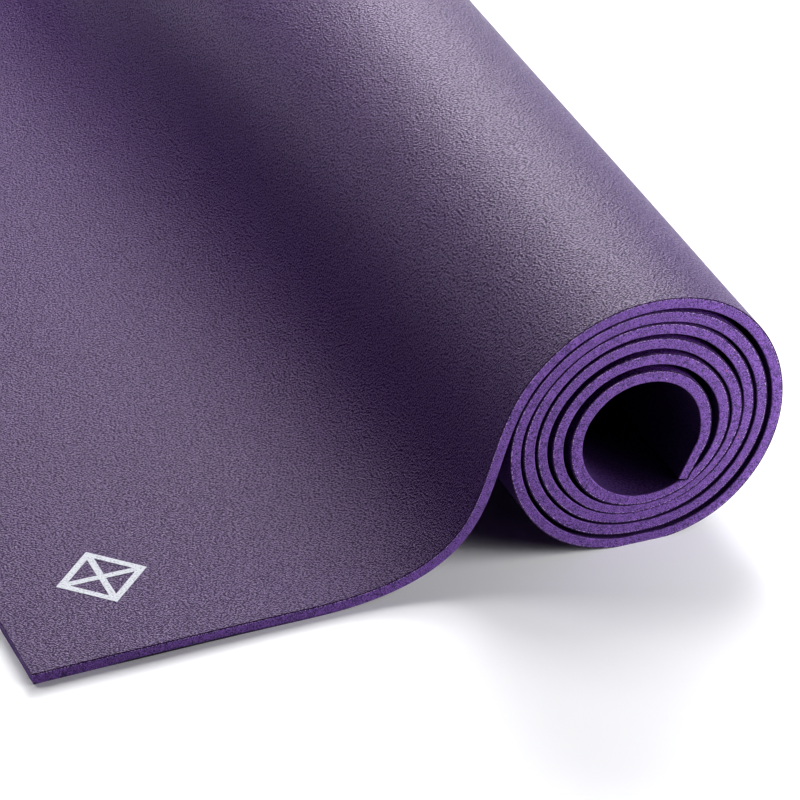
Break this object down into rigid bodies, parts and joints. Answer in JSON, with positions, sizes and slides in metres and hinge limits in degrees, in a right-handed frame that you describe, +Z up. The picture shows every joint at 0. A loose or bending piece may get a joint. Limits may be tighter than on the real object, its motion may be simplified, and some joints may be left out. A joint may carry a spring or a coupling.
{
  "type": "yoga mat",
  "caption": "Foam yoga mat with its free end flat on the floor and the rest wound up in a loose roll.",
  "frame": {"origin": "middle of the footprint, on the floor plane", "axes": "+X along the mat from its free end to the roll, +Y along the roll away from the marked corner, +Z up"},
  "size_m": [0.3346, 0.61, 0.1182],
  "materials": {
    "top_skin": "dusky violet skin with a fine pebbled emboss and a soft sheen",
    "foam": "matt violet closed-cell foam, cut edge with dark specks",
    "scrim": "pale open-weave polyester mesh",
    "base_skin": "matt dark violet grip skin with a fine texture",
    "ink": "pale grey matt ink film"
  },
  "bodies": {
    "root": {"top_skin": "top_skin", "upper_foam": "foam", "scrim": "scrim", "lower_foam": "foam", "base_skin": "base_skin", "corner_mark": "ink"}
  },
  "joints": []
}
